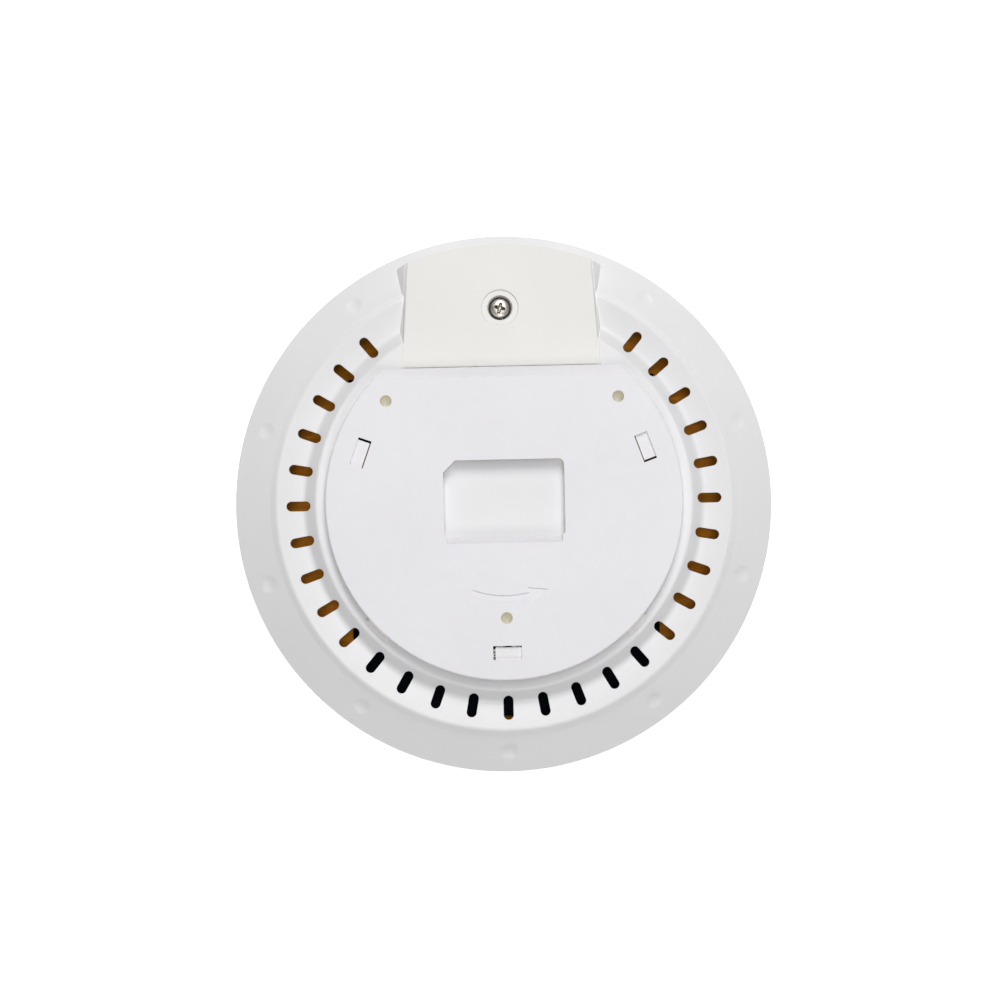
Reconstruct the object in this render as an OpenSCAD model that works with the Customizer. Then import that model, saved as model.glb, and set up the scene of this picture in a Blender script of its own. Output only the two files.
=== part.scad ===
// Ceiling access point: twist-lock ceiling bracket, vented rear shell with a port
// bay, front cover, and the electronics between them.
// Units are millimetres. Z = 0 is the ceiling plane and +Z points into the ceiling.
// +Y points from the centre to the port bay.

/* [Housing] */
// Outer diameter of the housing
body_d = 190; // [189:0.5:191]
// Ceiling plane to the lowest point of the front cover
body_h = 38; // [38:0.5:40]
// Wall thickness of the rear shell
wall = 2; // [1.8:0.1:2]
// Wall thickness of the front cover
cover_wall = 2.2; // [2:0.1:2.4]
// Radius of the flat middle of the front cover
front_flat_r = 52; // [45:1:55]

/* [Vents] */
// Angle between neighbouring vent slots
vent_pitch = 10; // [10]
// Number of vent slots, centred opposite the port bay
vent_count = 29; // [5:2:29]
// Radius of the circle through the slot centres
vent_r = 72.3; // [72:0.1:72.6]
// Length of a slot, along the radius
vent_l = 8.5; // [6:0.5:8.5]
// Width of a slot
vent_w = 3.5; // [2.5:0.1:4]

/* [Ceiling bracket] */
// Radius of the bracket plate
bracket_r = 62.6; // [62.2:0.1:62.7]
// Distance from the centre to the top edge of the flat side
bracket_flat_y = 43.7; // [43.2:0.1:43.8]
// Thickness of the bracket's face
bracket_face = 2; // [1.8:0.1:2.2]
// Depth of the bracket from the ceiling plane to its skirt's edge
bracket_h = 4.5; // [4.3:0.1:4.5]
// Diameter of the ceiling screw holes
screw_hole_d = 4.1; // [3.8:0.1:4.5]
// Turn from locked to released
twist_angle = 12; // [12]

/* [Port bay] */
// Distance from the centre to the bay's inner edge
bay_y = 47.6; // [47.6]
// Half width of the bay cover at its inner edge
bay_half_w = 34.7; // [34.2:0.1:34.8]
// Radius of the bay's outer end
bay_r = 91; // [90.9:0.1:91.1]
// Thickness of the bay cover
bay_cover_t = 2; // [1.8:0.1:2]

/* [Hidden] */
$fn = 96;
eps = 0.01;
gap = 0.3;               // running gap between parts that move
body_r = body_d / 2;

// Rear shell heights
seat_z = -4.8;           // plateau that the bracket turns on
seat_r = body_r - 28.8;  // edge of the plateau
trough_r = body_r - 24.6;
trough_z = -9;
crest_r = body_r - 14.8;
crest_z = -6.8;
cove_r = body_r - 12.7;  // foot of the step below the crest, where the flange starts
cove_z = -9.3;
rim_z = -17.5;           // upper edge of the rim
flange_slope = atan2(cove_z - rim_z, body_r - cove_r);
seam_z = -18.2;          // underside of the rim
tongue_r = body_r - 2.7; // outer radius of the tongue inside the front cover
tongue_t = 1.6;
tongue_z = -21.4;

// Snap hooks of the front cover
hook_step = 36;
hook_w = 8;
dimple_r = body_r - 7.3; // dents above the snap hooks
dimple_ball = 9;
dimple_depth = 0.75;

// Ceiling bracket
ramp_run = 3.6;          // plan width of the ramp on the flat side
skirt_t = 1.5;
hook_turn = 70.2;        // angle between +Y and the two upper lugs
lug_r = 53;              // radius of the lug windows' centres
lug_window = [4.8, 10];  // radial and tangential size of a lug window
lug_slit = [0.5, 0.8];   // slit at the window's inner side and at its free end
lug_sink = 1;            // how far the lug lies below the bracket's face
lug_lip = 2.2;           // how far the lug's lip reaches outwards
lug_lip_t = 1.3;
holes = [[-40.7, 35.9], [40.7, 35.9], [0, -40.9]];
label_window = [42.4, 29.2];
label_ramp = 2.6;        // run of the sloped lower side of the label window
arrow_r = 34.2;
arrow_w = 2.5;
arrow_depth = 0.4;

// Port bay
bay_taper = 3.9;         // plan angle of the bay's sides
bay_lean = 22;           // outward lean of the bay's side walls
bay_top = -5;            // upper face of the bay cover
bay_ledge = bay_top - bay_cover_t - gap;
bay_floor = -20.8;
bay_floor_t = 1.8;
bay_screw_y = 68.3;
bay_screw_recess_d = 12.8;
bay_screw_seat = -8.7;   // floor of the screw head's pocket
bay_post_top = -10.2;
mouth_w = 30;            // cable mouth in the bay's end wall
mouth_z = -14.5;

// Circuit board
board_top = -21.4;
board_t = 1.6;
board_bottom = board_top - board_t;
board_r = 76.6;
board_half_w = 54.4;
board_cut = 74;          // distance from the centre to the cut lower corners
board_cut_turn = 39;     // their angle from -Y
board_notch = [5, 1.3];  // locating notch in the lower edge
board_y = 45.2;
posts = [[-40, 40], [40, 40], [-36, -46], [36, -46]];
post_d = 7;
reflector_z = -25.8;     // upper face of the reflector plate
reflector_t = 0.8;
reflector_r = 84;
led_pos = [0, -30];
lan_x = -22.5;
wan_x = 12.5;
dc_x = 27;
reset_x = -9;
reset_z = -16.2;
port_y = 47.4;           // front faces of the ports
jack = [16, 16, 13.4];   // width, depth and height of a network jack
jack_skin = 0.3;
feed_y = 14;             // distance of the antenna feeds from the X axis

// ---- helpers ----

function unit(v) = v / norm(v);

// Arc that rounds the corner b between a and c with radius r
function corner(a, b, c, r, n = 5) =
  r == 0 ? [b] :
  let (u = unit(a - b), w = unit(c - b),
       half = acos(u * w) / 2,
       m = b + unit(u + w) * r / sin(half),
       p = b + u * r / tan(half) - m,
       q = b + w * r / tan(half) - m,
       a0 = atan2(p[1], p[0]),
       turn = atan2(p[0] * q[1] - p[1] * q[0], p * q))
  [for (i = [0:n]) m + r * [cos(a0 + turn * i / n), sin(a0 + turn * i / n)]];

// Closed outline from corners [x, y, radius]
function rounded(path) =
  let (n = len(path), at = function (i) [path[(i + n) % n][0], path[(i + n) % n][1]])
  [for (i = [0:n - 1]) each corner(at(i - 1), at(i), at(i + 1), path[i][2])];

function ellipse(c, rx, ry, a0, a1, n) =
  [for (i = [0:n]) let (a = a0 + (a1 - a0) * i / n) c + [rx * cos(a), ry * sin(a)]];

module box(low, high) {
  translate(low) cube(high - low);
}

module rod(d, z0, z1) {
  translate([0, 0, z0]) cylinder(d = d, h = z1 - z0);
}

// Part of a ring between two radii, two angles and two heights
module sector(r0, r1, a0, a1, z0, z1) {
  rotate([0, 0, a0])
    rotate_extrude(angle = a1 - a0)
      translate([r0, z0]) square([r1 - r0, z1 - z0]);
}

module at_posts() {
  for (p = posts) translate([p[0], p[1], 0]) children();
}

module at_lugs() {
  for (a = [90 - hook_turn, 90 + hook_turn, 270]) rotate([0, 0, a]) children();
}

// Everything inside the bay's right side plane, moved inwards by inset
module bay_right_half(inset) {
  translate([bay_half_w - inset, bay_y, bay_top])
    rotate([0, 0, bay_taper])
      rotate([0, -bay_lean, 0])
        translate([-200, -100, -100]) cube([200, 300, 200]);
}

// The bay's outer shape between two heights, moved inwards by inset
module bay_solid(inset, y0, z0, z1) {
  intersection() {
    rod(2 * (bay_r - inset), z0, z1);
    box([-80, y0, z0], [80, 120, z1]);
    bay_right_half(inset);
    mirror([1, 0, 0]) bay_right_half(inset);
  }
}

// Tube of n sides along points whose tangents are never parallel to Y
module tube(points, r, n = 8) {
  last = len(points) - 1;
  rings = [for (i = [0:last])
    let (t = unit(points[min(i + 1, last)] - points[max(i - 1, 0)]),
         u = unit(cross([0, 1, 0], t)),
         w = cross(t, u))
    for (k = [0:n - 1]) points[i] + r * (u * cos(360 * k / n) + w * sin(360 * k / n))];
  polyhedron(rings, concat(
    [[for (k = [0:n - 1]) k]],
    [[for (k = [n - 1:-1:0]) last * n + k]],
    [for (i = [0:last - 1], k = [0:n - 1])
      [i * n + k, (i + 1) * n + k, (i + 1) * n + (k + 1) % n, i * n + (k + 1) % n]]));
}

// ---- ceiling bracket ----

module bracket_tray() {
  difference() {
    intersection() {
      rotate_extrude()
        polygon(rounded([[0, 0, 0], [bracket_r, 0, 0.5], [bracket_r, -bracket_h, 0.2], [0, -bracket_h, 0]]));
      // the ramp on the flat side
      rotate([90, 0, 90])
        translate([0, 0, -80])
          linear_extrude(160)
            polygon([[-80, 1], [bracket_flat_y, 1], [bracket_flat_y, 0],
                     [bracket_flat_y + ramp_run, -bracket_h], [bracket_flat_y + ramp_run, -6], [-80, -6]]);
    }
    intersection() {
      rod(2 * (bracket_r - skirt_t), -bracket_h - 1, -bracket_face);
      box([-80, -80, -10], [80, bracket_flat_y - 0.5, 0]);
    }
  }
}

module label_outline(grow, ramp) {
  w = label_window[0] / 2 + grow;
  h = label_window[1] / 2 + grow;
  cut = 4.2;
  polygon(rounded([
    [w, -h + ramp, 1.2], [w, h, 2], [-w + cut, h, 0.6], [-w, h - cut, 0.6], [-w, -h + ramp, 1.2]]));
}

module bracket_lug() {
  free_end = -lug_window[1] / 2 + lug_slit[1];
  fixed_end = lug_window[1] / 2;
  inner = lug_r - lug_window[0] / 2 + lug_slit[0];
  outer = lug_r + lug_window[0] / 2;
  lip_top = seat_z - wall - 0.25;
  box([inner, free_end, lip_top - lug_lip_t], [outer, fixed_end, -lug_sink]);
  box([outer - eps, free_end, lip_top - lug_lip_t], [outer + lug_lip, fixed_end - 1, lip_top]);
}

module mount_bracket() {
  rib_z = -bracket_h + 0.6;
  color("whitesmoke") difference() {
    union() {
      bracket_tray();
      // frame round the label window
      translate([0, 0, -bracket_h]) linear_extrude(bracket_h - eps) label_outline(1.4, 0);
      // ribs from the frame to the skirt
      for (x = [-14, 14]) box([x - 0.6, -58, rib_z], [x + 0.6, -12, -bracket_face + eps]);
      for (x = [-14, 14]) box([x - 0.6, 12, rib_z], [x + 0.6, bracket_flat_y, -bracket_face + eps]);
      for (s = [-1, 1]) box([s * 41 - 20.5, -0.6, rib_z], [s * 41 + 20.5, 0.6, -bracket_face + eps]);
      // collars round the screw holes
      for (p = holes) translate([p[0], p[1], 0]) rod(screw_hole_d + 4, -3, -bracket_face + eps);
    }
    // label window with a sloped lower side
    translate([0, 0, -6]) linear_extrude(7) label_outline(0, label_ramp);
    rotate([90, 0, 90])
      translate([0, 0, -label_window[0] / 2 + 1])
        linear_extrude(label_window[0] - 2)
          polygon([[0, 1], [-label_window[1] / 2, 1], [-label_window[1] / 2, 0],
                   [-label_window[1] / 2 + label_ramp, -bracket_h - 1], [0, -bracket_h - 1]]);
    for (p = holes) translate([p[0], p[1], 0]) rod(screw_hole_d, -6, 1);
    // slits round the lugs
    at_lugs() translate([lug_r, 0, 0])
      box([-lug_window[0] / 2, -lug_window[1] / 2, -6], [lug_window[0] / 2, lug_window[1] / 2, 1]);
    // turning arrow, sunk into the face
    sector(arrow_r - arrow_w / 2, arrow_r + arrow_w / 2, -111, -75, -arrow_depth, 1);
    translate([0, 0, -arrow_depth])
      linear_extrude(2)
        polygon([for (p = [[arrow_r - 3, -76], [arrow_r + 3, -76], [arrow_r, -65]])
          p[0] * [cos(p[1]), sin(p[1])]]);
  }
  color("whitesmoke") at_lugs() {
    bracket_lug();
    // webs that hold the lug at its fixed end and its outer side
    box([lug_r - lug_window[0] / 2, lug_window[1] / 2 - eps, -bracket_h],
        [lug_r + lug_window[0] / 2, lug_window[1] / 2 + 1.5, -bracket_face + eps]);
    box([lug_r + lug_window[0] / 2 - eps, -lug_window[1] / 2 + lug_slit[1], -bracket_h],
        [lug_r + lug_window[0] / 2 + 1.2, lug_window[1] / 2 + 1.5, -bracket_face + eps]);
  }
}

// ---- rear shell ----

module shell_profile() {
  polygon(rounded([
    [0, seat_z, 0], [seat_r, seat_z, 1.5], [trough_r, trough_z, 2.5], [crest_r, crest_z, 1.4],
    [cove_r, cove_z, 3], [body_r, rim_z, 0.4], [body_r, seam_z, 0.15],
    [tongue_r, seam_z, 0], [tongue_r, tongue_z, 0.3], [tongue_r - tongue_t, tongue_z, 0.3],
    [tongue_r - tongue_t, seam_z + 1.0, 1], [cove_r - 1.4, cove_z - 1.9, 2],
    [crest_r - 1.5, crest_z - wall - 0.4, 0.8], [trough_r - 0.7, trough_z - wall - 0.2, 1.2],
    [seat_r - 0.2, seat_z - wall, 1], [0, seat_z - wall, 0]]));
}

module vent_slot() {
  reach = (vent_l - vent_w) / 2;
  for (s = [-1, 1]) translate([vent_r + s * reach, 0, 0]) rod(vent_w, -13, -4);
  box([vent_r - reach, -vent_w / 2, -13], [vent_r + reach, vent_w / 2, -4]);
}

// Arc slot that lets a lug in and keeps its lip under the wall when turned
module lug_slot() {
  inner = lug_r - lug_window[0] / 2 - 0.3;
  narrow = lug_r + lug_window[0] / 2 + 0.6;
  wide = lug_r + lug_window[0] / 2 + lug_lip + 0.6;
  half = 6.3;
  sector(inner, narrow, -half, twist_angle, seat_z - wall - 1, seat_z + 1);
  sector(inner, wide, twist_angle - half, twist_angle + half, seat_z - wall - 1, seat_z + 1);
}

module shell_holes() {
  first = 270 - vent_pitch * (vent_count - 1) / 2;
  for (i = [0:vent_count - 1]) rotate([0, 0, first + vent_pitch * i]) vent_slot();
  at_lugs() lug_slot();
  // dents above the snap hooks, and the hooks' windows in the tongue
  for (a = [90 + hook_step:hook_step:90 + 9 * hook_step]) rotate([0, 0, a]) {
    translate([dimple_r, 0, rim_z + (body_r - dimple_r) * tan(flange_slope)]) rotate([0, flange_slope, 0])
      translate([0, 0, dimple_ball - dimple_depth]) sphere(r = dimple_ball);
    box([tongue_r - tongue_t - 1, -hook_w / 2 - 0.5, -20.6], [tongue_r + 0.2, hook_w / 2 + 0.5, -19]);
  }
}

// Hole through the jack wall, open towards the board
module port_opening(x, half, h) {
  box([x - half, 40, board_top - 0.2], [x + half, bay_y + 0.1, board_top + h + 0.3]);
}

module port_openings() {
  for (x = [lan_x, wan_x]) port_opening(x, jack[0] / 2 + 0.2, jack[2]);
  port_opening(dc_x, 4.7, 11);
  translate([reset_x, 0, reset_z]) rotate([-90, 0, 0]) rod(3.6, 40, bay_y + 0.1);
}

module rear_shell() {
  color("white") {
    difference() {
      union() {
        rotate_extrude() shell_profile();
        bay_solid(0, bay_y - wall, bay_floor - bay_floor_t, bay_ledge);
        at_posts() rod(post_d, board_top, seat_z - wall + eps);
      }
      // room for the cover, and the bay itself
      bay_solid(-0.4, bay_y, bay_ledge, 1);
      bay_solid(wall, bay_y, bay_floor, 1);
      // cable mouth
      box([-mouth_w / 2, 80, mouth_z], [mouth_w / 2, 100, 1]);
      port_openings();
      shell_holes();
      at_posts() rod(2.7, board_top - 1, -10);
    }
    // screw post in the bay
    translate([0, bay_screw_y, 0]) difference() {
      rod(9, bay_floor - eps, bay_post_top);
      rod(6, -16.2, bay_post_top + 1);
      rod(4.6, -19, -16);
    }
    // ribs that centre the bracket
    for (a = [-44, -136])
      sector(bracket_r + 0.4, bracket_r + 1.7, a - 4, a + 4, seat_z - eps, seat_z + 1.2);
  }
}

// ---- front cover ----

module front_cover() {
  top = seam_z - 0.25;
  mid = -21.5;
  inner_r = tongue_r + gap;
  color("white") {
    difference() {
      rotate_extrude() polygon(concat(
        [[0, -body_h]],
        ellipse([front_flat_r, mid], body_r - front_flat_r, body_h + mid, -90, 0, 18),
        [[body_r, top + 0.3], [body_r - 0.3, top], [inner_r, top]],
        ellipse([front_flat_r, mid], inner_r - front_flat_r, body_h + mid - cover_wall, 0, -90, 18),
        [[0, cover_wall - body_h]]));
      translate([led_pos[0], led_pos[1], 0]) rod(4.3, -body_h - 1, -30);
    }
    for (a = [90 + hook_step:hook_step:90 + 9 * hook_step]) rotate([0, 0, a]) {
      box([88.8, -hook_w / 2, -28.2], [90.3, hook_w / 2, -18.6]);
      box([90.3 - eps, -hook_w / 2, -20.2], [91.6, hook_w / 2, -19.3]);
    }
    // socket of the light pipe
    translate([led_pos[0], led_pos[1], 0]) difference() {
      rod(10, cover_wall - body_h - eps, cover_wall - body_h + 3);
      rod(7.4, -body_h, -30);
    }
  }
}

// ---- port bay cover ----

module bay_cover() {
  bottom = bay_top - bay_cover_t;
  color("ivory") difference() {
    union() {
      bay_solid(0, bay_y + gap, bottom, bay_top);
      translate([0, bay_screw_y, 0]) rod(12.4, bay_post_top + gap, bottom + eps);
      // locating ribs inside the bay's side walls
      for (s = [-1, 1]) box([s * 30 - 0.7, 54, -9.5], [s * 30 + 0.7, 78, bottom + eps]);
    }
    translate([0, bay_screw_y, 0]) {
      rod(bay_screw_recess_d, bay_top - 0.6, 0);
      rod(8.7, bay_screw_seat, 0);
      rod(4.5, -11, 0);
    }
  }
}

// Pan head with a cross recess
module pan_head(d, h, drive) {
  difference() {
    rotate_extrude() polygon(rounded([[0, 0, 0], [d / 2, 0, 0.2], [d / 2, h, h * 0.55], [0, h, 0]]));
    intersection() {
      union() for (a = [45, 135]) rotate([0, 0, a])
        box([-drive / 2, -drive / 7, h * 0.35], [drive / 2, drive / 7, h + 1]);
      translate([0, 0, h * 0.35]) cylinder(d1 = drive * 0.35, d2 = drive * 1.1, h = h * 0.75);
    }
  }
}

module bay_screw() {
  color("silver") translate([0, bay_screw_y, bay_screw_seat + gap]) {
    pan_head(8, 2.6, 4.4);
    rod(4, -8.4, eps);
  }
}

module threaded_insert() {
  color("goldenrod") translate([0, bay_screw_y, 0]) difference() {
    rod(6, -16.2, bay_post_top);
    rod(4.1, -17, bay_post_top + 1);
  }
}

// ---- board stack ----

module main_board() {
  color("midnightblue") difference() {
    intersection() {
      rod(2 * board_r, board_bottom, board_top);
      box([-board_half_w, -90, -30], [board_half_w, board_y, 0]);
      for (s = [-1, 1]) rotate([0, 0, s * board_cut_turn]) box([-200, -board_cut, -30], [200, 200, 0]);
    }
    at_posts() rod(3.4, -30, 0);
    box([-board_notch[0] / 2, -90, -30], [board_notch[0] / 2, board_notch[1] - board_r, 0]);
  }
}

module reflector_plate() {
  color("saddlebrown") difference() {
    rod(2 * reflector_r, reflector_z - reflector_t, reflector_z);
    at_posts() rod(3.4, -30, 0);
    translate([led_pos[0], led_pos[1], 0]) rod(5, -30, 0);
    for (sx = [-1, 1], sy = [-1, 1]) translate([sx * 58, sy * feed_y, 0]) box([-2, -2, -30], [2, 2, 0]);
  }
}

module board_spacers() {
  color("silver") at_posts() difference() {
    rod(6, reflector_z, board_bottom);
    rod(3.4, -30, 0);
  }
}

module core_screws() {
  color("silver") at_posts() {
    translate([0, 0, reflector_z - reflector_t]) mirror([0, 0, 1]) pan_head(5.6, 2, 3);
    rod(2.6, reflector_z - reflector_t - eps, -16);
  }
}

module main_processor() {
  color("dimgray") translate([2, -4, board_top]) box([-8.5, -8.5, 0], [8.5, 8.5, 1.6]);
}

module thermal_pad() {
  color("lightblue") translate([2, -4, board_top + 1.6]) box([-8, -8, 0], [8, 8, 0.6]);
}

module heat_sink() {
  fins = 9;
  size = 36;
  pitch = (size - 1.2) / (fins - 1);
  color("silver") translate([2, -4, board_top + 2.2]) {
    box([-size / 2, -size / 2, 0], [size / 2, size / 2, 2]);
    for (i = [0:fins - 1])
      translate([-size / 2 + pitch * i, 0, 0]) box([0, -size / 2, 2 - eps], [1.2, size / 2, 8]);
  }
}

module memory_chips() {
  color("dimgray") for (c = [[-27, 2, 14, 8], [-27, -10, 14, 8], [-27, -21, 8, 6]])
    translate([c[0], c[1], board_top]) box([-c[2] / 2, -c[3] / 2, 0], [c[2] / 2, c[3] / 2, 1.1]);
}

module clock_crystal() {
  color("silver") translate([27, -22, board_top]) hull()
    for (x = [-3.6, 3.6]) translate([x, 0, 0]) cylinder(d = 4, h = 3, $fn = 32);
}

module radio_chips() {
  color("dimgray") for (x = [-15, 16]) translate([x, -44, board_top]) box([-4.5, -4.5, 0], [4.5, 4.5, 1]);
}

module shield_frame(x) {
  color("silver") translate([x, -44, board_top]) difference() {
    box([-14, -11, 0], [14, 11, 2.4]);
    box([-13.7, -10.7, -1], [13.7, 10.7, 3]);
  }
}

module shield_lid(x) {
  color("silver") translate([x, -44, board_top]) difference() {
    box([-14.3, -11.3, 0.8], [14.3, 11.3, 2.7]);
    box([-14, -11, 0], [14, 11, 2.4]);
    for (i = [-3:3], j = [-2:2]) translate([i * 3.5, j * 3.5, 0]) rod(1.4, 0, 3);
  }
}

// ---- ports ----

// The space for a network plug and its latch, from the port's front face
module plug_space(deep) {
  for (s = [[5.95, 1.7, 8.6], [3.2, 8.5, 10.2], [1.8, 10.1, 11.6]])
    box([-s[0], -deep, s[1]], [s[0], 1, s[2]]);
}

module jack_shield(x) {
  w = jack[0] / 2;
  color("silver") translate([x, port_y, board_top]) difference() {
    box([-w, -jack[1], 0], [w, 0, jack[2]]);
    box([-w + jack_skin, -jack[1] + jack_skin, -1], [w - jack_skin, -jack_skin, jack[2] - jack_skin]);
    plug_space(2);
  }
}

module jack_insert(x) {
  w = jack[0] / 2 - jack_skin;
  color("black") translate([x, port_y, board_top]) difference() {
    box([-w, -jack[1] + jack_skin, 0], [w, -jack_skin, jack[2] - jack_skin]);
    plug_space(13);
    for (i = [-3.5:3.5]) box([i * 1.02 - 0.25, -12.6, 0.6], [i * 1.02 + 0.25, -2, 1.8]);
  }
}

module jack_contacts(x) {
  color("gold") translate([x, port_y, board_top])
    for (i = [-3.5:3.5]) box([i * 1.02 - 0.15, -12.6, 0.6], [i * 1.02 + 0.15, -2.4, 1.8]);
}

module network_transformers() {
  color("dimgray") for (x = [lan_x, wan_x]) translate([x, 24, board_top]) box([-7, -4.5, 0], [7, 4.5, 5.6]);
}

module dc_jack_body() {
  color("black") translate([dc_x, port_y, board_top]) difference() {
    union() {
      box([-4.5, -14.2, 0], [4.5, -3, 11]);
      box([-4.5, -3.1, 0], [4.5, 0, 11]);
    }
    translate([0, 0, 5.6]) rotate([90, 0, 0]) rod(6.2, -1, 9.5);
    translate([0, 0, 5.6]) rotate([90, 0, 0]) rod(2, 9, 12);
  }
}

module dc_jack_pin() {
  color("silver") translate([dc_x, port_y, board_top + 5.6]) rotate([90, 0, 0]) {
    rod(2, 0.9, 12);
    translate([0, 0, 0.5]) cylinder(d1 = 1.2, d2 = 2, h = 0.4 + eps);
  }
}

module reset_switch() {
  color("dimgray") translate([reset_x, bay_y - wall - 0.2, reset_z]) difference() {
    box([-3.1, -3.6, board_top - reset_z], [3.1, 0, 3.1]);
    rotate([90, 0, 0]) rod(3.2, -1, 3);
  }
}

module reset_button() {
  color("black") translate([reset_x, 0, reset_z]) rotate([-90, 0, 0])
    rod(3, bay_y - wall - 2.4, bay_y + 1.4);
}

// ---- power parts ----

module power_transformer_core() {
  color("dimgray") translate([38, 16, board_top]) {
    box([-6.5, -6, 1], [6.5, 6, 2.8]);
    box([-6.5, -6, 8.6], [6.5, 6, 10.4]);
    for (s = [-1, 1]) box([s * 5.8 - 0.7, -6, 2.8 - eps], [s * 5.8 + 0.7, 6, 8.6 + eps]);
    rod(4, 2.8 - eps, 8.6 + eps);
  }
}

module power_transformer_winding() {
  color("goldenrod") translate([38, 16, board_top]) difference() {
    rod(9.8, 2.9, 8.5);
    rod(4.2, 2, 9);
  }
}

module electrolytic_capacitors() {
  color("darkslategray") for (p = [[35, 29], [-35, 30], [-38, 16]]) translate([p[0], p[1], board_top])
    rotate_extrude() polygon(rounded([
      [0, 0, 0], [4, 0, 0.3], [4, 1.2, 0], [3.6, 1.6, 0], [4, 2, 0], [4, 12, 0.4], [0, 12, 0]]));
}

module power_inductors() {
  color("dimgray") for (x = [30, 40]) translate([x, -8, board_top]) {
    box([-3.6, -3.6, 0], [3.6, 3.6, 1]);
    rod(6.4, 1 - eps, 3.2);
  }
}

// ---- radio parts ----

module rf_connectors() {
  color("gold") for (sx = [-1, 1], sy = [-1, 1]) translate([sx * 49, sy * feed_y, board_top]) {
    box([-1.4, -1.4, 0], [1.4, 1.4, 0.4]);
    rod(2.2, 0.4 - eps, 1.4);
  }
}

// Stamped inverted-F antenna on the front of the reflector plate
module antenna(side, y, reach) {
  z = reflector_z - reflector_t;
  color("silver") translate([side * 47, y, z]) mirror([side > 0 ? 1 : 0, 0, 0]) {
    box([-1, -5, -0.3], [7, -1.5, 0]);
    box([-1, -5, -6.4], [-0.7, -1.5, -0.3 + eps]);
    box([-1, -5, -6.4], [reach - 1, 4, -6.1]);
    box([-1, 1, -6.1 - eps], [-0.7, 3, -2.4]);
  }
}

// Coaxial lead over the board's edge and through the reflector plate
module antenna_lead(side, y) {
  color("black") tube([for (p = [
    [50.4, 0, -20.8], [52.5, 0, -20.8], [54.6, 0, -20.7], [56.2, 0, -21.1], [57.4, 0, -22.1],
    [58, 0, -23.6], [58.2, 0, -25.2], [58.1, 0, -26.8], [57.6, 0, -28.1], [56.6, 0, -29.1],
    [55.2, 0.3, -29.6], [53.4, 0.8, -29.7], [51.4, 1.4, -29.6], [49.9, 1.9, -29.4], [48.9, 2, -29.3]])
    [side * p[0], y + p[1], p[2]]], 0.55);
}

module status_led() {
  color("lightyellow") translate([led_pos[0], led_pos[1], board_bottom]) {
    box([-1.6, -1.4, -1], [1.6, 1.4, 0]);
    rod(2, -1.8, -1 + eps);
  }
}

module light_pipe() {
  base = cover_wall - body_h;
  color("gainsboro") translate([led_pos[0], led_pos[1], 0]) {
    rod(4, -body_h, base + eps);
    rod(7, base, base + 1.2);
    rod(3.4, base + 1.2 - eps, board_bottom - 2.2);
  }
}

// ---- drawing ----

mount_bracket();
rear_shell();
front_cover();
bay_cover();
bay_screw();
threaded_insert();
main_board();
reflector_plate();
board_spacers();
core_screws();
main_processor();
thermal_pad();
heat_sink();
memory_chips();
clock_crystal();
radio_chips();
shield_frame(-15);  // shield_frame_2g
shield_lid(-15);  // shield_lid_2g
shield_frame(16);  // shield_frame_5g
shield_lid(16);  // shield_lid_5g
jack_shield(lan_x);  // lan_jack_shield
jack_insert(lan_x);  // lan_jack_insert
jack_contacts(lan_x);  // lan_jack_contacts
jack_shield(wan_x);  // wan_jack_shield
jack_insert(wan_x);  // wan_jack_insert
jack_contacts(wan_x);  // wan_jack_contacts
network_transformers();
dc_jack_body();
dc_jack_pin();
reset_switch();
reset_button();
power_transformer_core();
power_transformer_winding();
electrolytic_capacitors();
power_inductors();
rf_connectors();
antenna(-1, -feed_y, 28);  // antenna_2g_left
antenna(1, -feed_y, 28);  // antenna_2g_right
antenna(-1, feed_y, 15);  // antenna_5g_left
antenna(1, feed_y, 15);  // antenna_5g_right
antenna_lead(-1, -feed_y);  // antenna_lead_2g_left
antenna_lead(1, -feed_y);  // antenna_lead_2g_right
antenna_lead(-1, feed_y);  // antenna_lead_5g_left
antenna_lead(1, feed_y);  // antenna_lead_5g_right
status_led();
light_pipe();
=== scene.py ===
"""Looks of the ceiling access point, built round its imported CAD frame.

Lengths are in metres. +Z points into the ceiling, +Y from the centre to the port bay.
"""
import math

import bmesh
import bpy
from mathutils import Matrix, Vector


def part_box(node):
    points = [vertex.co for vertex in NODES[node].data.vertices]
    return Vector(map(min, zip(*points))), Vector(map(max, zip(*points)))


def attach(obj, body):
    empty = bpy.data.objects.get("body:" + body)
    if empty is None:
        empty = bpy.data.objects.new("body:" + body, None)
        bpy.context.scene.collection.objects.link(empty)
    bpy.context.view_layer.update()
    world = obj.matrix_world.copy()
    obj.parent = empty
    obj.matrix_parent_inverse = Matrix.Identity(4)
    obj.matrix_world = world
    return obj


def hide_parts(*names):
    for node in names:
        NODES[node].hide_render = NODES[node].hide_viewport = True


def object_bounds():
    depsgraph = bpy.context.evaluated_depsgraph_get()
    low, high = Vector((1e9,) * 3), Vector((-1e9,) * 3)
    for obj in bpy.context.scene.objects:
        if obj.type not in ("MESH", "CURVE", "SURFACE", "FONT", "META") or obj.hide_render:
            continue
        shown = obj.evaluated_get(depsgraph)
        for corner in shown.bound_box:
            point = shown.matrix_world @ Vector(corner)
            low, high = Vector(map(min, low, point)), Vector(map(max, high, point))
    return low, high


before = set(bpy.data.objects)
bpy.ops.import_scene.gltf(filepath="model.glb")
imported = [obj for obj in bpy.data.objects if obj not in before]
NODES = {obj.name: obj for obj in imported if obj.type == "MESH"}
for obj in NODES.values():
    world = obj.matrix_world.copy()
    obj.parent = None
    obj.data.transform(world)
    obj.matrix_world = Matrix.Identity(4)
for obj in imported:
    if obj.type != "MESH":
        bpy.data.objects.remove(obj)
cad_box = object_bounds()
MM = 0.001


# ---- camera ----------------------------------------------------------------------------------

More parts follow.
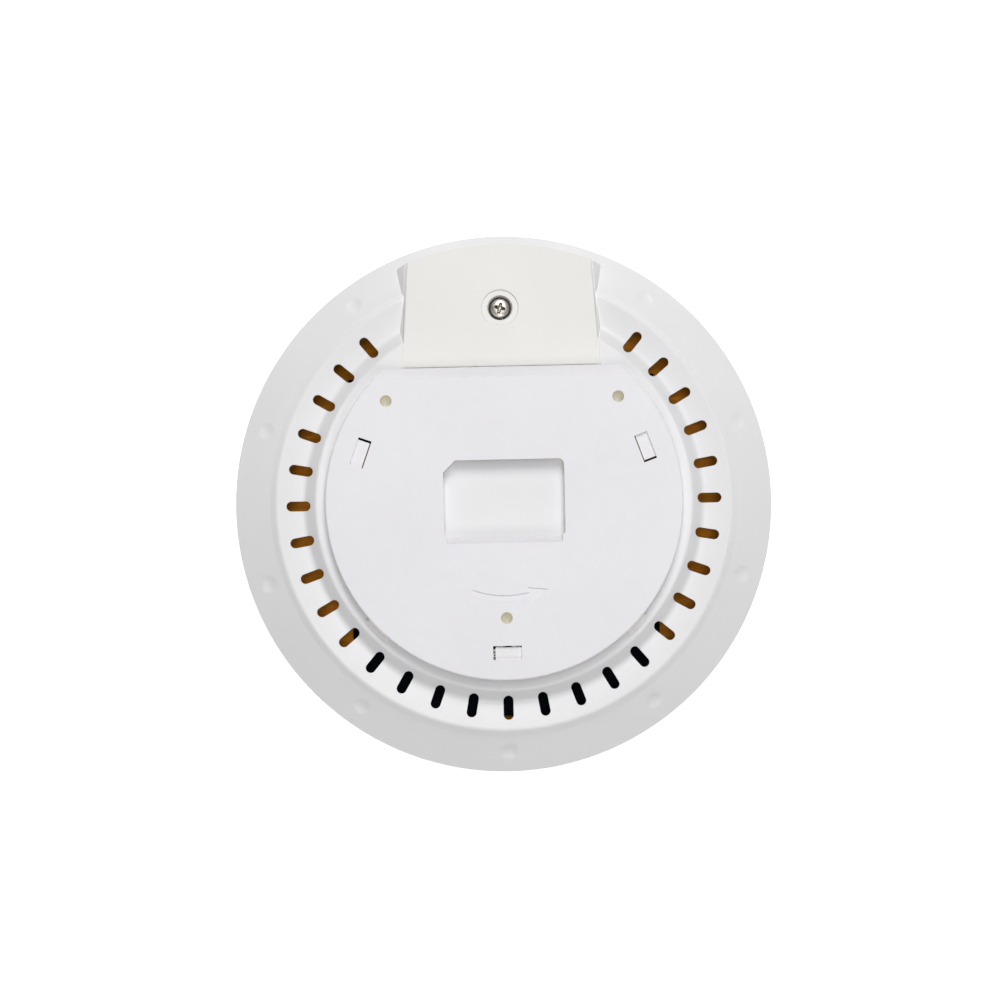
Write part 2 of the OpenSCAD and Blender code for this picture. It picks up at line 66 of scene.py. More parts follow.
VIEW_DISTANCE = 1.2              # from the camera to the point it looks at
VIEW_WIDTH = 0.3525              # what the frame spans at that distance
VIEW_TARGET = Vector((-0.0014, 0.0008, -0.010))
VIEW_TILT = (-0.455, -2.327)     # lean from straight above, in degrees, towards +X and +Y
VIEW_ROLL = 1.262                # turn about the line of sight, in degrees
SENSOR_WIDTH = 36.0              # in millimetres
CLIP_START = 0.01
CLIP_END = 50


def make_camera():
    """The camera stands almost straight above the back, a little towards -Y."""
    tilt_x, tilt_y = [math.tan(math.radians(angle)) for angle in VIEW_TILT]
    lean = Vector((tilt_x, tilt_y, 1)).normalized()
    roll = math.radians(VIEW_ROLL)
    right = (-lean).cross(Vector((math.sin(roll), math.cos(roll), 0))).normalized()
    up = right.cross(-lean)
    data = bpy.data.cameras.new("camera")
    data.sensor_width = SENSOR_WIDTH
    data.lens = SENSOR_WIDTH * VIEW_DISTANCE / VIEW_WIDTH
    data.clip_start = CLIP_START
    data.clip_end = CLIP_END
    camera = bpy.data.objects.new("camera", data)
    turn = Matrix((right, up, lean)).transposed()
    camera.matrix_world = Matrix.Translation(VIEW_TARGET + lean * VIEW_DISTANCE) @ turn.to_4x4()
    bpy.context.scene.collection.objects.link(camera)
    bpy.context.scene.camera = camera


make_camera()


# ---- studio light ----------------------------------------------------------------------------

# Name, place, width, length along Y, power in watts. The lights stand in a row along Y, so that
# slopes that face +X and -X stay dimmer.
SOFT_BOXES = [
    ("key_light", (0.14, 1.40, 1.67), 0.9, 1.0, 28.6),
    ("top_light", (0.16, 0.25, 2.1), 0.7, 1.8, 13.4),
    ("low_light", (0.05, -1.7, 1.5), 0.7, 0.7, 13.4),
]
WORLD_STRENGTH = 0.12


def soft_box(name, place, width, length, power):
    """An area light at place that shines on the object."""
    data = bpy.data.lights.new(name, "AREA")
    data.shape = "RECTANGLE"
    data.size = width
    data.size_y = length
    data.energy = power
    light = bpy.data.objects.new(name, data)
    light.location = place
    light.rotation_euler = (VIEW_TARGET - Vector(place)).to_track_quat("-Z", "Y").to_euler()
    bpy.context.scene.collection.objects.link(light)


def make_studio():
    """The soft boxes, a weak white world and plain colour handling."""
    for box in SOFT_BOXES:
        soft_box(*box)
    world = bpy.data.worlds.new("studio")
    bpy.context.scene.world = world
    world.use_nodes = True
    background = world.node_tree.nodes["Background"]
    background.inputs["Color"].default_value = (1, 1, 1, 1)
    background.inputs["Strength"].default_value = WORLD_STRENGTH
    bpy.context.scene.view_settings.view_transform = "Standard"
    bpy.context.scene.view_settings.look = "None"


make_studio()


# ---- material helpers ------------------------------------------------------------------------

AO_SAMPLES = 8


class Shader:
    """A node material with one Principled shader, and short calls that add nodes to it."""

    def __init__(self, name, colour, roughness, metallic=0.0, **sockets):
        self.material = bpy.data.materials.new(name)
        self.material.use_nodes = True
        self.material.diffuse_color = (*colour, 1)
        self.tree = self.material.node_tree
        self.main = self.tree.nodes["Principled BSDF"]
        self.put("Base Color", (*colour, 1))
        self.put("Roughness", roughness)
        self.put("Metallic", metallic)
        for socket, value in sockets.items():
            self.put(socket.replace("_", " ").title().replace("Ior", "IOR"), value)
        self.place = self.add("ShaderNodeTexCoord").outputs["Object"]

    def add(self, kind, **inputs):
        """A new node with these inputs."""
        node = self.tree.nodes.new(kind)
        for socket, value in inputs.items():
            self.link(value, node.inputs[socket.replace("_", " ")])
        return node

    def link(self, value, socket):
        """Joins another node's output to the socket, or sets the socket to a plain value."""
        if isinstance(value, bpy.types.NodeSocket):
            self.tree.links.new(value, socket)
        else:
            socket.default_value = value

    def put(self, socket, value):
        """Sets or joins a socket of the Principled shader."""
        self.link(value, self.main.inputs[socket])

    def noise(self, size, detail=3.0, roughness=0.5, stretch=(1, 1, 1)):
        """Noise whose features are about size across."""
        mapping = self.add("ShaderNodeMapping", Vector=self.place, Scale=stretch)
        node = self.add("ShaderNodeTexNoise", Vector=mapping.outputs["Vector"], Scale=1 / size,
                        Detail=detail, Roughness=roughness)
        return node.outputs["Fac"]

    def spread(self, value, low, high, start=0.0, end=1.0):
        """value, mapped from start..end to low..high."""
        node = self.add("ShaderNodeMapRange", Value=value)
        ends = (("From Min", start), ("From Max", end), ("To Min", low), ("To Max", high))
        for socket, number in ends:
            node.inputs[socket].default_value = number
        return node.outputs["Result"]

    def work_out(self, operation, *values):
        """The result of a Math node."""
        node = self.add("ShaderNodeMath")
        node.operation = operation
        for value, socket in zip(values, node.inputs):
            self.link(value, socket)
        return node.outputs["Value"]

    def mix(self, share, *colours):
        """The first colour where share is 0, the second where it is 1."""
        node = self.add("ShaderNodeMix")
        node.data_type = "RGBA"
        self.link(share, node.inputs["Factor"])
        sockets = [s for s in node.inputs if s.type == "RGBA"]
        for colour, socket in zip(colours, sockets):
            self.link(colour if isinstance(colour, bpy.types.NodeSocket) else (*colour, 1), socket)
        return [s for s in node.outputs if s.type == "RGBA"][0]

    def bump(self, *layers):
        """Layers of (height, depth): height runs 0 to 1 and depth is its real size."""
        normal = None
        for height, depth in layers:
            node = self.add("ShaderNodeBump", Height=height, Distance=depth, Strength=1.0)
            if normal:
                self.link(normal, node.inputs["Normal"])
            normal = node.outputs["Normal"]
        self.put("Normal", normal)

    def height(self):
        """Z in the shared frame."""
        return self.add("ShaderNodeSeparateXYZ", Vector=self.place).outputs["Z"]

    def hollows(self, reach):
        """0 in narrow gaps and corners, 1 in the open."""
        node = self.add("ShaderNodeAmbientOcclusion", Distance=reach)
        node.samples = AO_SAMPLES
        return node.outputs["AO"]


# ---- materials -------------------------------------------------------------------------------

GRAIN_SIZE = 0.00028
GRAIN_DEPTH = 0.000006
HOLE_REACH = 6 * MM              # a surface with walls this near on all sides is in a hole
GAP_REACH = 0.8 * MM             # and with walls this near it is in a gap
# Painted light: how strongly the plastic glows with its own light in holes, and the heights it fades in
# between
PAINTED_HOLE_GLOW = 0.22
PAINTED_GLOW_HEIGHTS = (-6.2 * MM, -5.4 * MM)    # the glow of holes fades in between these
# Reach of the painted shade in the recesses of metal parts
RECESS_SHADE_REACH = 1.2 * MM


def moulded(name, colour, roughness, painted_hole_tint=None, painted_gap_glow=0.0):
    """Injection-moulded plastic with a fine sparked grain and a faint unevenness.

    The tint given for holes is painted light: there the base colour takes that warm tint and the plastic
    gives off light of its own, following ambient occlusion. The gap strength is how much untinted painted
    glow narrow gaps give off.
    """
    s = Shader(name, colour, roughness, specular_ior_level=0.42)
    drift = s.spread(s.noise(0.045, 2.0), 0, 1, 0.35, 0.65)
    tone = s.mix(drift, [c * 0.985 for c in colour], [min(1, c * 1.012) for c in colour])
    # Painted light: in holes the base colour takes a warm tint and the plastic gives off light of its own,
    # and narrow gaps glow untinted; both follow ambient occlusion.
    if painted_hole_tint:
        upper = s.spread(s.height(), 0, 1, *PAINTED_GLOW_HEIGHTS)
        painted_hole_mask = s.work_out("MULTIPLY", s.spread(s.hollows(HOLE_REACH), 1, 0, 0.12, 0.42), upper)
        painted_gap_mask = s.spread(s.hollows(GAP_REACH), 1, 0, 0.15, 0.55)
        painted_glow_tint = s.mix(painted_gap_mask, painted_hole_tint, colour)
        tone = s.mix(painted_hole_mask, tone, painted_glow_tint)
        s.put("Emission Color", painted_glow_tint)
        s.put("Emission Strength", s.work_out(
            "MULTIPLY_ADD", s.spread(painted_hole_mask, 0, PAINTED_HOLE_GLOW), s.spread(painted_gap_mask, 1, 0), s.spread(painted_gap_mask, 0, painted_gap_glow)))
    s.put("Base Color", tone)
    gloss = s.noise(0.004, 4.0)
    s.put("Roughness", s.spread(gloss, roughness - 0.05, roughness + 0.06, 0.3, 0.7))
    s.bump((s.noise(GRAIN_SIZE, 4.0, 0.6), GRAIN_DEPTH), (s.noise(0.012, 1.0), 0.00002))
    return s.material


def sheet_metal(name, colour, roughness, streak=(1, 14, 1), stain=None, recess_shade=None):
    """Rolled or turned metal: streaks, faint spots, stains, and painted shade that darkens its recesses."""
    s = Shader(name, colour, roughness, 1.0)
    streaks = s.noise(0.006, 4.0, 0.6, streak)
    tone = s.mix(s.spread(streaks, 0, 1, 0.35, 0.65), [c * 0.9 for c in colour], colour)
    if stain:
        cloud = s.noise(0.016, 3.0, 0.6)
        tone = s.mix(s.spread(cloud, 0, 0.8, 0.42, 0.68), tone, stain)
    # Painted shade: the colour darkens in recesses and where parts meet, following ambient occlusion.
    if recess_shade:
        tone = s.mix(s.spread(s.hollows(RECESS_SHADE_REACH), 1, 0, 0.5, 0.85), tone, recess_shade)
    s.put("Base Color", tone)
    s.put("Roughness", s.spread(streaks, roughness - 0.07, roughness + 0.12, 0.3, 0.7))
    s.bump((streaks, 0.000008), (s.noise(0.0006, 2.0), 0.000003))
    return s.material


def board_mask(name):
    """Dark blue solder mask over copper tracks that show as faint raised lines."""
    blue = (0.0012, 0.0034, 0.0100)
    s = Shader(name, blue, 0.5, specular_ior_level=0.05)
    tracks = s.add("ShaderNodeTexBrick", Vector=s.place, Scale=160.0)
    copper = tracks.outputs["Fac"]
    s.put("Base Color", s.mix(copper, blue, (0.002, 0.007, 0.018)))
    s.put("Roughness", s.spread(s.noise(0.003), 0.42, 0.58))
    s.bump((copper, 0.00002), (s.noise(0.0004, 2.0), 0.000003))
    return s.material


def clear_plastic(name):
    """Clear moulded plastic with faint ripples."""
    s = Shader(name, (0.92, 0.94, 0.95), 0.12, transmission_weight=0.9, ior=1.49)
    s.put("Roughness", s.spread(s.noise(0.002), 0.08, 0.18))
    s.bump((s.noise(0.0008), 0.000004))
    return s.material


# Colour, roughness, painted tint and glow in holes, strength of the painted glow in gaps
# Warm colour of the painted tint and glow in holes
PAINTED_HOLE_CREAM = (0.74, 0.70, 0.52)
PLASTICS = {
    "bracket_plastic": ((0.780, 0.768, 0.796), 0.40, PAINTED_HOLE_CREAM),
    "housing_plastic": ((0.775, 0.770, 0.780), 0.44, PAINTED_HOLE_CREAM, 0.34),
    "cover_plastic": ((0.785, 0.776, 0.752), 0.42, (0.74, 0.72, 0.62), 0.34),
    "chip_black": ((0.022, 0.022, 0.024), 0.5),
    "pad_blue": ((0.20, 0.34, 0.50), 0.75),
    "black_plastic": ((0.016, 0.016, 0.017), 0.36),
    "ferrite": ((0.045, 0.045, 0.05), 0.6),
    "winding_tape": ((0.62, 0.42, 0.05), 0.22),
    "capacitor_sleeve": ((0.012, 0.026, 0.06), 0.2),
    "lead_jacket": ((0.02, 0.02, 0.02), 0.3),
    "led_resin": ((0.85, 0.80, 0.50), 0.25),
}
# Colour, roughness, stretch of the streaks, colour of stains, colour of the painted shade in recesses
METALS = {
    "screw_steel": ((0.84, 0.79, 0.73), 0.42, (1, 14, 1), None, (0.035, 0.022, 0.014)),
    "washer_steel": ((0.13, 0.115, 0.12), 0.38, (1, 14, 1), None, (0.02, 0.015, 0.015)),
    "brass": ((0.78, 0.58, 0.26), 0.3),
    "passivated_steel": ((0.37, 0.138, 0.014), 0.42, (1, 9, 1), (0.30, 0.105, 0.010)),
    "plated_steel": ((0.74, 0.74, 0.72), 0.28),
    "aluminium": ((0.80, 0.80, 0.81), 0.34, (1, 1, 12)),
    "gold_contact": ((0.86, 0.62, 0.24), 0.2),
}
MATERIALS = {name: moulded(name, *looks) for name, looks in PLASTICS.items()}
MATERIALS.update({name: sheet_metal(name, *looks) for name, looks in METALS.items()})
MATERIALS["board"] = board_mask("board")
MATERIALS["clear_plastic"] = clear_plastic("clear_plastic")


# ---- CAD nodes -------------------------------------------------------------------------------

WELD_REACH = 0.001 * MM
FLAT_ANGLE = 0.3                 # in degrees: faces that meet at less are one flat face
EDGE_ANGLE = 38                  # in degrees: faces that meet at more get a rounded edge


def dress(node, edge):
    """Gives a CAD node its material and rounds its sharp edges to this width."""
    item = NODES[node]
    for slot in item.material_slots:
        slot.material = MATERIALS[slot.material.name.split(".")[0]]
    if not edge:
        return
    weld = item.modifiers.new("weld", "WELD")
    weld.merge_threshold = WELD_REACH
    flat = item.modifiers.new("flat", "DECIMATE")
    flat.decimate_type = "DISSOLVE"
    flat.angle_limit = math.radians(FLAT_ANGLE)
    bevel = item.modifiers.new("bevel", "BEVEL")
    bevel.width = edge
    bevel.segments = 2
    bevel.limit_method = "ANGLE"
    bevel.angle_limit = math.radians(EDGE_ANGLE)
    shade = item.modifiers.new("shade", "WEIGHTED_NORMAL")
    shade.keep_sharp = True


# Nodes whose edges are rounded, and how wide
EDGES = {
    "mount_bracket": 0.2 * MM, "rear_shell": 0.2 * MM, "front_cover": 0.15 * MM, "bay_cover": 0.2 * MM,
    "heat_sink": 0.12 * MM, "main_processor": 0.08 * MM, "network_transformers": 0.2 * MM,
    "dc_jack_body": 0.15 * MM, "reset_button": 0.2 * MM, "power_transformer_core": 0.15 * MM,
    "shield_lid_2g": 0.12 * MM, "shield_lid_5g": 0.12 * MM, "thermal_pad": 0.1 * MM,
}
for name in NODES:
    dress(name, EDGES.get(name, 0.0))


# ---- mesh helpers ----------------------------------------------------------------------------

def turned(points, angle, centre=(0, 0)):
    """Points (r, z) of an outline, turned to one angle round an upright axis at centre."""
    return [(centre[0] + r * math.cos(angle), centre[1] + r * math.sin(angle), z) for r, z in points]


def skin(shape, loops, closed=False):
    """Joins loops of equal length into one closed skin; closed joins the last to the first."""
    rows = [[shape.verts.new(p) for p in loop] for loop in loops]
    count = len(rows[0])
    pairs = list(zip(rows, rows[1:])) + ([(rows[-1], rows[0])] if closed else [])
    for one, two in pairs:
        for i in range(count):
            j = (i + 1) % count
            shape.faces.new((one[i], one[j], two[j], two[i]))
    if not closed:
        shape.faces.new(rows[0][::-1])
        shape.faces.new(rows[-1])


def lathe(shape, outline, centre, steps=48):
    """Turns a closed outline of (r, z) points, off the axis, round the axis at centre."""
    skin(shape, [turned(outline, 2 * math.pi * i / steps, centre) for i in range(steps)], closed=True)


def spindle(shape, outline, centre, steps=48):
    """Turns an outline of (r, z) points from one end of a solid rod to the other."""
    loops = []
    for r, z in outline:
        loops.append([turned([(r, z)], 2 * math.pi * i / steps, centre)[0] for i in range(steps)])
    skin(shape, loops)


def block(shape, low, high, cut=0.0):
    """A box with its upper edges cut at 45 degrees."""
    loops = []
    for z, inset in ((low[2], 0), (high[2] - cut, 0), (high[2], cut)):
        x0, y0, x1, y1 = low[0] + inset, low[1] + inset, high[0] - inset, high[1] - inset
        loops.append([(x0, y0, z), (x1, y0, z), (x1, y1, z), (x0, y1, z)])
    skin(shape, loops)


def ribbon(shape, path, x, width, thick):
    """A flat wire of the given width along points (y, z), at x."""
    loops = []
    for i, (y, z) in enumerate(path):
        before, after = Vector(path[max(i - 1, 0)]), Vector(path[min(i + 1, len(path) - 1)])
        along = (after - before).normalized()
        side = Vector((-along.y, along.x)) * thick / 2
        loops.append([(x - width / 2, y - side.x, z - side.y), (x + width / 2, y - side.x, z - side.y),
                      (x + width / 2, y + side.x, z + side.y), (x - width / 2, y + side.x, z + side.y)])
    skin(shape, loops)


def built(name, build, *details):
    """A new object whose mesh, in metres, comes from build(shape, *details)."""
    shape = bmesh.new()
    build(shape, *details)
    bmesh.ops.recalc_face_normals(shape, faces=shape.faces)
    mesh = bpy.data.meshes.new(name)
    shape.to_mesh(mesh)
    shape.free()
    item = bpy.data.objects.new(name, mesh)
    bpy.context.scene.collection.objects.link(item)
    return item


def piece(name, material, body, build, *details, sharp=35, slot=None):
    """Builds a piece that rides on a body; edges over sharp degrees stay sharp."""
    item = built(name, build, *details)
    item.data.materials.append(MATERIALS[material])
    item.data.shade_smooth()
    item.data.set_sharp_from_angle(angle=math.radians(sharp))
    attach(item, body)
    return item


def round_path(points, radius, steps=4):
    """The path with its inner corners rounded."""
    path = [points[0]]
    for before, at, after in zip(points, points[1:], points[2:]):
        at = Vector(at)
        start = at + (Vector(before) - at).normalized() * radius
        end = at + (Vector(after) - at).normalized() * radius
        for i in range(steps + 1):
            t = i / steps
            path.append(tuple(start * (1 - t) ** 2 + at * 2 * t * (1 - t) + end * t ** 2))
    return path + [points[-1]]


# ---- cover screw and its insert --------------------------------------------------------------

SCREW_LOW, SCREW_HIGH = [Vector(c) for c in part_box("bay_screw")]
SCREW_AXIS = ((SCREW_LOW.x + SCREW_HIGH.x) / 2, (SCREW_LOW.y + SCREW_HIGH.y) / 2)
HEAD_R = (SCREW_HIGH.x - SCREW_LOW.x) / 2
HEAD_H = 2.6 * MM
DOME_R = HEAD_R - 0.55 * MM      # the head's own radius, inside its washer
WASHER_T = 0.7 * MM
SHANK_R = 2.0 * MM
CROSS_TURN = -15                 # how far the drive cross is turned from the X axis, in degrees
THREAD_PITCH = 0.7 * MM
THREAD_STEPS = 24                # per turn
# Depth, reach of the arms and half their width, in millimetres from the head's top
CROSS = [(0.3, 2.25, 0.50), (-1.2, 1.5, 0.40), (-1.8, 0.4, 0.14)]


def screw_body(shape):
    """Pan head on a plain core that the thread is wound round."""
    top = SCREW_HIGH.z
    under = top - HEAD_H
    core = SHANK_R - 0.38 * MM
    spindle(shape, [
        (core * 0.55, SCREW_LOW.z), (core, SCREW_LOW.z + 0.5 * MM), (core, under - 0.9 * MM),
        (SHANK_R - 0.02 * MM, under - 0.6 * MM), (SHANK_R - 0.02 * MM, under + WASHER_T),
        (DOME_R - 0.1 * MM, under + WASHER_T), (DOME_R, under + WASHER_T + 0.1 * MM),
        (DOME_R - 0.03 * MM, under + 1.25 * MM), (DOME_R - 0.16 * MM, under + 1.6 * MM),
        (DOME_R - 0.45 * MM, under + 1.95 * MM), (DOME_R - 0.9 * MM, under + 2.25 * MM),
        (DOME_R - 1.5 * MM, under + 2.45 * MM), (DOME_R - 2.3 * MM, top - 0.04 * MM),
        (0.3 * MM, top)], SCREW_AXIS, 64)


def lock_washer(shape):
    """Split spring washer held under the head; its ends are cut at a slant."""
    low = SCREW_HIGH.z - HEAD_H
    steps = 60
    loops = []
    for i in range(steps + 1):
        angle = math.radians(285 + 354 * i / steps)
        lift = 0.05 * MM * (i / steps)
        outline = [(SHANK_R + 0.05 * MM, low + lift), (HEAD_R - 0.06 * MM, low + lift),
                   (HEAD_R, low + lift + 0.06 * MM), (HEAD_R, low + lift + 0.5 * MM),
                   (HEAD_R - 0.1 * MM, low + lift + 0.6 * MM), (SHANK_R + 0.05 * MM, low + lift + 0.62 * MM)]
        loops.append(turned(outline, angle, SCREW_AXIS))
    skin(shape, loops)


def screw_thread(shape):
    """A ridge wound round the core; it thins out at both ends."""
    low = SCREW_LOW.z + 0.6 * MM
    high = SCREW_HIGH.z - HEAD_H - 1.0 * MM
    steps = int((high - low) / THREAD_PITCH * THREAD_STEPS)
    loops = []
    for i in range(steps + 1):
        angle = 2 * math.pi * i / THREAD_STEPS
        z = low + THREAD_PITCH * i / THREAD_STEPS
        rise = min(1, i / 12, (steps - i) / 12)
        root = SHANK_R - 0.45 * MM
        crest = root + (0.1 + 0.35 * rise) * MM
        half = THREAD_PITCH * (0.12 + 0.26 * rise)
        ridge = [(root, z - half), (crest, z - 0.04 * MM), (crest, z + 0.04 * MM), (root, z + half)]
        loops.append(turned(ridge, angle, SCREW_AXIS))
    skin(shape, loops)


def cross_cutter(shape):
    """Tapered cross with a pointed floor, for the drive recess."""
    loops = []
    for rise, arm, half in CROSS:
        z = SCREW_HIGH.z + rise * MM
        corners = []
        for quarter in range(4):
            turn = Matrix.Rotation(math.radians(CROSS_TURN + 90 * quarter), 2)
            for x, y in ((arm, -half), (arm, half), (half * 1.5, half * 1.5)):
                spot = turn @ Vector((x, y)) * MM
                corners.append((SCREW_AXIS[0] + spot.x, SCREW_AXIS[1] + spot.y, z))
        loops.append(corners)
    skin(shape, loops)


def carve(item, cutter):
    """Cuts one piece out of another and keeps the result as its mesh."""
    cut = item.modifiers.new("cut", "BOOLEAN")
    cut.operation = "DIFFERENCE"
    cut.solver = "EXACT"
    cut.object = cutter
    edge = item.modifiers.new("edge", "BEVEL")
    edge.width = 0.05 * MM
    edge.segments = 2
    edge.limit_method = "ANGLE"
    edge.angle_limit = math.radians(40)
    seen = item.evaluated_get(bpy.context.evaluated_depsgraph_get())
    mesh = bpy.data.meshes.new_from_object(seen)
    item.modifiers.clear()
    item.data = mesh
    bpy.data.objects.remove(cutter)


def build_screw():
    """The screw's head and core, its thread and its washer."""
    body = piece("cover_screw_head", "screw_steel", "cover_screw", screw_body, sharp=30)
    carve(body, built("cutter", cross_cutter))
    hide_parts("bay_screw")
    piece("cover_screw_thread", "screw_steel", "cover_screw", screw_thread)
    piece("cover_screw_washer", "washer_steel", "cover_screw", lock_washer, slot="screw_steel")


# Share of the insert's height, inset in millimetres, 1 where it is knurled
INSERT_BANDS = [(0.0, 0.25, 0), (0.06, 0.0, 1), (0.42, 0.0, 1), (0.45, 0.5, 0),
                (0.55, 0.5, 0), (0.58, 0.0, 1), (0.94, 0.0, 1), (1.0, 0.25, 0)]


def knurled_insert(shape):
    """Brass insert: two knurled bands, a groove between them, and a thread in its bore."""
    low, high = [Vector(c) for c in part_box("threaded_insert")]
    outer = (high.x - low.x) / 2
    tall = high.z - low.z
    bore = outer - 0.95 * MM
    turns = 9
    steps = 96
    loops = []
    for i in range(steps):
        angle = 2 * math.pi * i / steps
        tooth = 0.14 * MM * (i % 4 in (0, 3))
        outline = []
        for share, inset, knurl in INSERT_BANDS:
            outline.append((outer - inset * MM - tooth * knurl, low.z + tall * share))
        for k in range(turns * 2, -1, -1):
            outline.append((bore + 0.1 * MM * (k % 2), low.z + tall * k / (turns * 2)))
        loops.append(turned(outline, angle, SCREW_AXIS))
    skin(shape, loops, closed=True)


build_screw()
insert = piece("knurled_insert", "brass", "housing", knurled_insert)
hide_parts("threaded_insert")


# ---- network jacks ---------------------------------------------------------------------------

CONTACTS = 8
CONTACT_PITCH = 1.02 * MM
CONTACT_WIDTH = 0.3 * MM
SPRING_T = 0.18 * MM             # thickness of the contacts and of the shields' tongues
TONGUE_X = 5.9 * MM              # from a jack's middle to its tongues
TONGUE_WIDTH = 1.6 * MM
TONGUE_HEIGHTS = (3.6 * MM, 6.4 * MM)


def spring_contacts(shape, node):
    """Sprung wires: along the jack's floor, round at the mouth, and back up where the plug goes."""
    low, high = [Vector(c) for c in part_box(node)]
    middle = (low.x + high.x) / 2
    floor = low.z + 0.15 * MM
    path = round_path([
        (low.y, floor), (high.y - 0.6 * MM, floor), (high.y, floor + 0.75 * MM),
        (high.y - 1.2 * MM, floor + 1.2 * MM), (low.y + 3.4 * MM, floor + 3.9 * MM),
        (low.y + 2.4 * MM, floor + 3.8 * MM)], 0.3 * MM)
    for i in range(CONTACTS):
        ribbon(shape, path, middle + (i - (CONTACTS - 1) / 2) * CONTACT_PITCH, CONTACT_WIDTH, SPRING_T)


def shield_springs(shape, node):
    """Four bent tongues round the mouth of a jack, which touch the plug's own shield."""
    low, high = [Vector(c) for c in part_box(node)]
    middle = (low.x + high.x) / 2
    front = high.y - 0.35 * MM
    for side in (-1, 1):
        inner = middle + side * TONGUE_X
        path = round_path([(front, 0), (front - 1.6 * MM, 0.55 * MM), (front - 3.4 * MM, 0.5 * MM),
                           (front - 5.0 * MM, 0.05 * MM)], 0.5 * MM)
        for z in [low.z + height for height in TONGUE_HEIGHTS]:
            top = z + TONGUE_WIDTH
            loops = []
            for y, rise in path:
                x = inner - side * rise
                back = x - side * SPRING_T
                loops.append([(x, y, z), (back, y, z), (back, y, top), (x, y, top)])
            skin(shape, loops)


for port in ("lan", "wan"):
    wires = piece(port + "_spring_contacts", "gold_contact", "housing",
                  spring_contacts, port + "_jack_contacts")
    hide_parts(port + "_jack_contacts")
    piece(port + "_shield_springs", "plated_steel", "housing", shield_springs, port + "_jack_shield")


# ---- board parts -----------------------------------------------------------------------------

BOARD_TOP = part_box("main_board")[1][2]
# Groups of small parts: centre x and y in millimetres, columns, rows, turned
PART_GROUPS = [
    (-5, 26, 4, 5, False), (-5, 36, 4, 3, False), (-21, 14.5, 6, 1, True), (26, 8, 2, 6, False),
    (-44, -3, 2, 7, False), (41, -24, 4, 5, False), (-42, -33, 3, 5, False), (2, -27, 9, 2, True),
    (27, -14, 3, 2, False), (-21, -28.5, 5, 1, True), (46, 4, 2, 4, False), (26, 20, 2, 5, False),
]
PART_LENGTH = 1.6 * MM
PART_WIDTH = 0.8 * MM
PART_HEIGHT = 0.55 * MM
PART_SPACE = 0.9 * MM            # between one small part and the next
PART_END = 0.3 * MM              # length of a small part's metal end
LEG_PITCH = 0.8 * MM
LEG_REACH = 1.0 * MM
LEG_T = 0.13 * MM


def part_places():
    """Centre, half length and half width of every small part, in the board's plane."""
    for x, y, columns, rows, turned_round in PART_GROUPS:
        size = (PART_WIDTH, PART_LENGTH) if turned_round else (PART_LENGTH, PART_WIDTH)
        for i in range(columns):
            for j in range(rows):
                spot = (x * MM + (i - (columns - 1) / 2) * (size[0] + PART_SPACE),
                        y * MM + (j - (rows - 1) / 2) * (size[1] + PART_SPACE))
                yield spot, size[0] / 2, size[1] / 2, turned_round


def part_bodies(shape):
    """What lies between the small parts' ends."""
    top = BOARD_TOP + PART_HEIGHT - 0.03 * MM
    for (x, y), half_x, half_y, turned_round in part_places():
        end_x, end_y = (0, PART_END) if turned_round else (PART_END, 0)
        block(shape, (x - half_x + end_x, y - half_y + end_y, BOARD_TOP),
              (x + half_x - end_x, y + half_y - end_y, top), 0.04 * MM)


def part_ends(shape):
    """The small parts' metal ends."""
    top = BOARD_TOP + PART_HEIGHT
    for (x, y), half_x, half_y, turned_round in part_places():
        for side in (-1, 1):
            if turned_round:
                low, high = sorted((y + side * half_y, y + side * (half_y - PART_END)))
                block(shape, (x - half_x, low, BOARD_TOP), (x + half_x, high, top), 0.05 * MM)
            else:
                low, high = sorted((x + side * half_x, x + side * (half_x - PART_END)))
                block(shape, (low, y - half_y, BOARD_TOP), (high, y + half_y, top), 0.05 * MM)


def chips_of(node):
    """The boxes of a node's separate solids, each as its lowest and highest corner."""
    shape = bmesh.new()
    shape.from_mesh(NODES[node].data)
    bmesh.ops.remove_doubles(shape, verts=shape.verts, dist=WELD_REACH)
    left = set(shape.verts)
    boxes = []
    while left:
        group, reach = set(), [left.pop()]
        while reach:
            vert = reach.pop()
            group.add(vert)
            for edge in vert.link_edges:
                other = edge.other_vert(vert)
                if other in left:
                    left.remove(other)
                    reach.append(other)
        spots = list(zip(*[v.co for v in group]))
        boxes.append(([min(line) for line in spots], [max(line) for line in spots]))
    shape.free()
    return sorted(boxes)


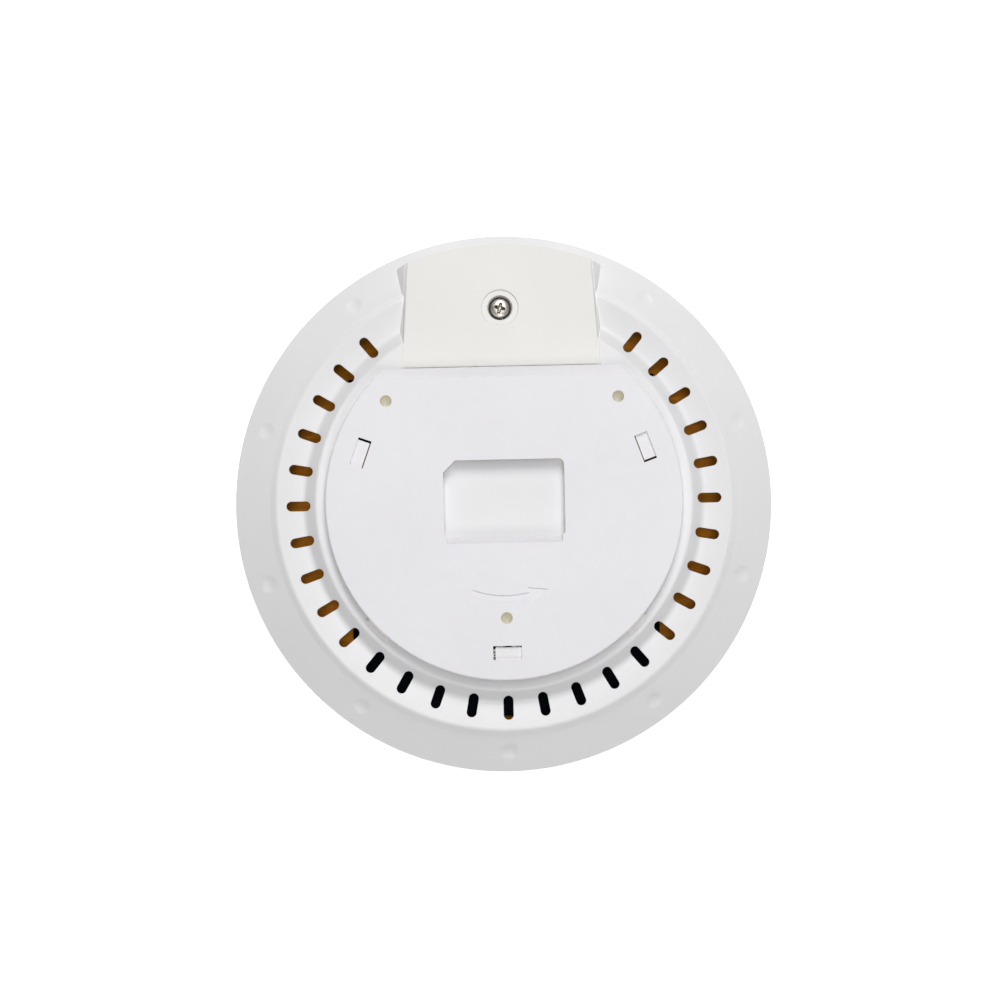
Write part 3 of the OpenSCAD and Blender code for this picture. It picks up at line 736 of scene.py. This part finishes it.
def chip_legs(shape, node):
    """Gull-wing legs along the two sides of a node's chips that face +Y and -Y."""
    knee = BOARD_TOP + 0.5 * MM
    foot = BOARD_TOP + 0.07 * MM
    for low, high in chips_of(node):
        count = int((high[0] - low[0] - 0.8 * MM) / LEG_PITCH)
        for i in range(count + 1):
            x = (low[0] + high[0]) / 2 + (i - count / 2) * LEG_PITCH
            for side, edge in ((-1, low[1]), (1, high[1])):
                path = round_path([
                    (edge - side * 0.1 * MM, knee), (edge + side * LEG_REACH * 0.35, knee),
                    (edge + side * LEG_REACH * 0.55, foot), (edge + side * LEG_REACH, foot)], 0.08 * MM, 2)
                ribbon(shape, path, x, LEG_PITCH * 0.45, LEG_T)


def transformer_turns(shape):
    """Tape-wrapped winding whose layers of wire show as soft rings."""
    low, high = [Vector(c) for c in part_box("power_transformer_winding")]
    centre = ((low.x + high.x) / 2, (low.y + high.y) / 2)
    outer = (high.x - low.x) / 2
    inner = 2.1 * MM
    rings = 12
    steps = 6                    # per ring
    outline = []
    for k in range(rings * steps + 1):
        swell = abs(math.sin(math.pi * k / steps))
        height = low.z + (high.z - low.z) * k / (rings * steps)
        outline.append((outer - 0.12 * MM * (1 - swell), height))
    lathe(shape, outline + [(inner, high.z), (inner, low.z)], centre, 64)


piece("small_part_bodies", "chip_black", "housing", part_bodies)
piece("small_part_ends", "plated_steel", "housing", part_ends)
piece("memory_legs", "plated_steel", "housing", chip_legs, "memory_chips")
winding = piece("transformer_turns", "winding_tape", "housing", transformer_turns)
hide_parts("power_transformer_winding")


# ---- floor -----------------------------------------------------------------------------------

FLOOR_SIZE = 12
FLOOR_DROP = 0.3 * MM            # below the object's lowest point
FLOOR_GLOW = 0.5                 # keeps the ground white, with no shadow


def make_floor():
    """A plain white ground that glows a little."""
    bpy.ops.mesh.primitive_plane_add(size=FLOOR_SIZE, location=(0, 0, cad_box[0][2] - FLOOR_DROP))
    floor = bpy.context.object
    floor.name = "floor"
    s = Shader("floor", (0.93, 0.93, 0.93), 0.8, specular_ior_level=0.2, emission_strength=FLOOR_GLOW)
    s.put("Emission Color", (1, 1, 1, 1))
    s.put("Roughness", s.spread(s.noise(0.05), 0.75, 0.85))
    floor.data.materials.append(s.material)


make_floor()
